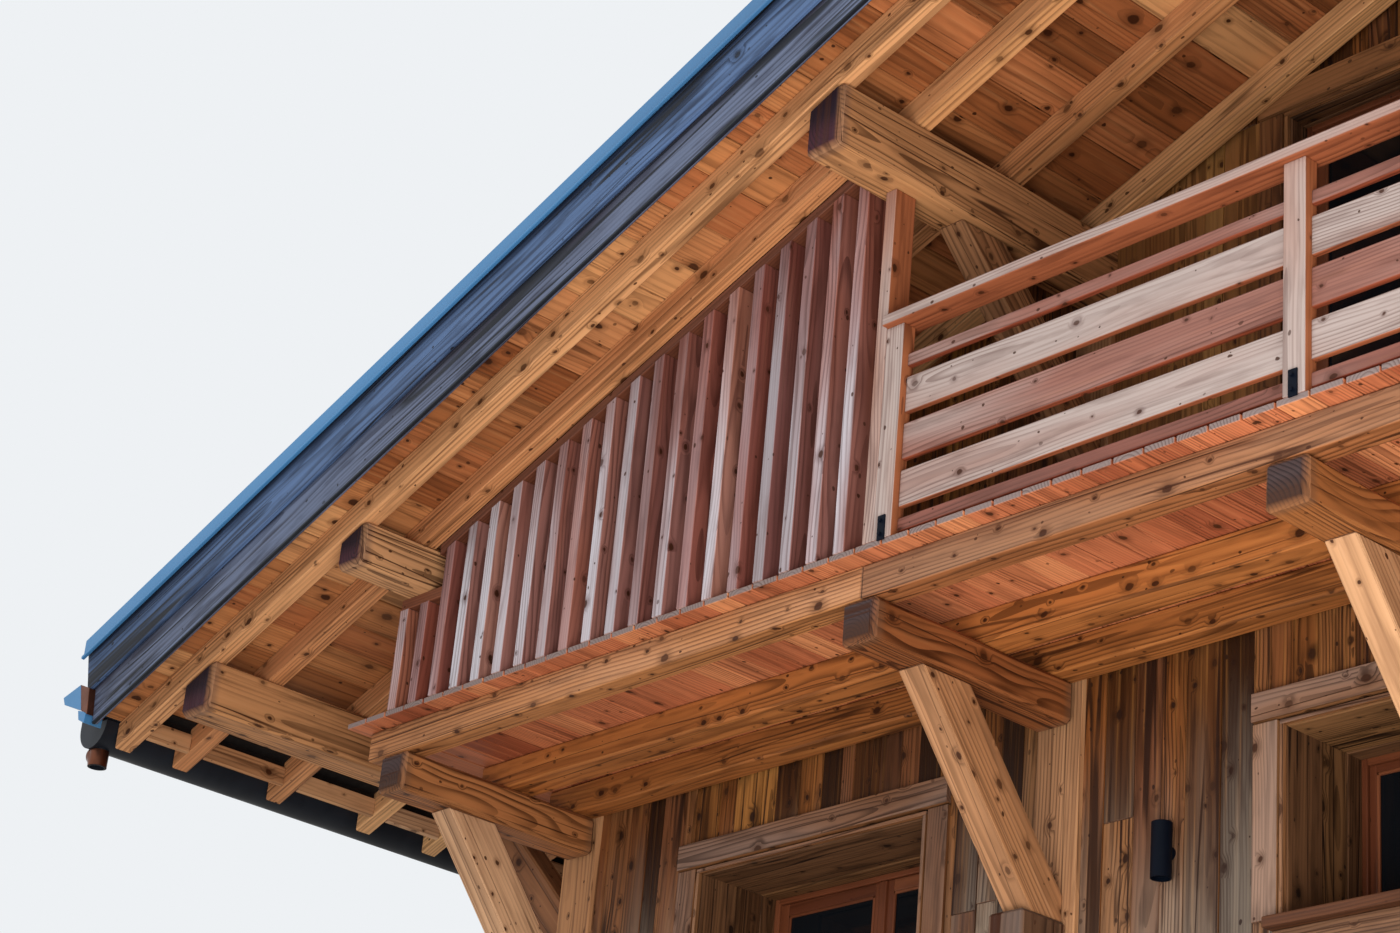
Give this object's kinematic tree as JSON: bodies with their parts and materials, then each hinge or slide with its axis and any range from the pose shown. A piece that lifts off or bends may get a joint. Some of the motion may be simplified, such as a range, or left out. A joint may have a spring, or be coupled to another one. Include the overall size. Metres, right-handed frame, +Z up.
{
  "type": "alpine chalet",
  "caption": "Timber-clad mountain house with a wide low-pitched roof on purlins and rafters, a gable balcony with board railing and slatted screens.",
  "frame": {"origin": "middle of the building's box, on the ground", "axes": "+Z up; the balcony front faces -Y; +X runs along the front to the right seen from outside; the ridge runs along Y over X = 0"},
  "size_m": [17.0606, 13.9, 9.489],
  "materials": {
    "stone": "rough",
    "floor_wood": "satin",
    "wall_boards": "matt",
    "post_wood": "matt",
    "hewn_wood": "matt",
    "rafter_wood": "satin",
    "soffit_wood": "satin",
    "roof_deck": "matt",
    "roof_metal": "satin",
    "grey_boards": "weathered",
    "flashing": "satin",
    "gutter_metal": "satin",
    "grey_wood": "weathered",
    "joist_wood": "matt",
    "larch": "satin",
    "black_steel": "satin",
    "frame_wood": "satin",
    "glass": "clear"
  },
  "bodies": {
    "root": {"stone_base": "stone", "floors": "floor_wood", "front_wall": "wall_boards", "rear_wall": "wall_boards", "side_walls": "wall_boards", "front_gable": "wall_boards", "rear_gable": "wall_boards", "knee_walls": "wall_boards", "wall_posts": "post_wood", "gable_posts": "post_wood", "ridge_purlin": "hewn_wood", "upper_purlins": "hewn_wood", "wall_purlins": "hewn_wood", "eave_purlins": "hewn_wood", "purlin_braces": "hewn_wood", "eave_braces": "hewn_wood", "rafters": "rafter_wood", "soffits": "soffit_wood", "left_roof_deck": "roof_deck", "right_roof_deck": "roof_deck", "left_roof_covering": "roof_metal", "right_roof_covering": "roof_metal", "ridge_cap": "roof_metal", "lower_barge_boards": "grey_boards", "upper_barge_boards": "grey_boards", "verge_flashings": "flashing", "eave_fascias": "roof_metal", "eave_closures": "soffit_wood", "gutters": "gutter_metal", "consoles": "hewn_wood", "struts": "post_wood", "corbels": "grey_wood", "edge_beams": "post_wood", "deck_joists": "joist_wood", "balcony_deck": "larch", "balcony_posts": "larch", "handrail": "larch", "railing_boards": "larch", "post_brackets": "black_steel", "slat_screens": "larch", "window_casings": "grey_wood", "window_sills": "grey_wood", "window_linings": "grey_wood", "window_frames": "frame_wood", "window_glass": "glass", "balcony_doors": "frame_wood", "balcony_door_glass": "glass", "entrance_door": "frame_wood", "wall_lights": "black_steel"}
  },
  "joints": []
}
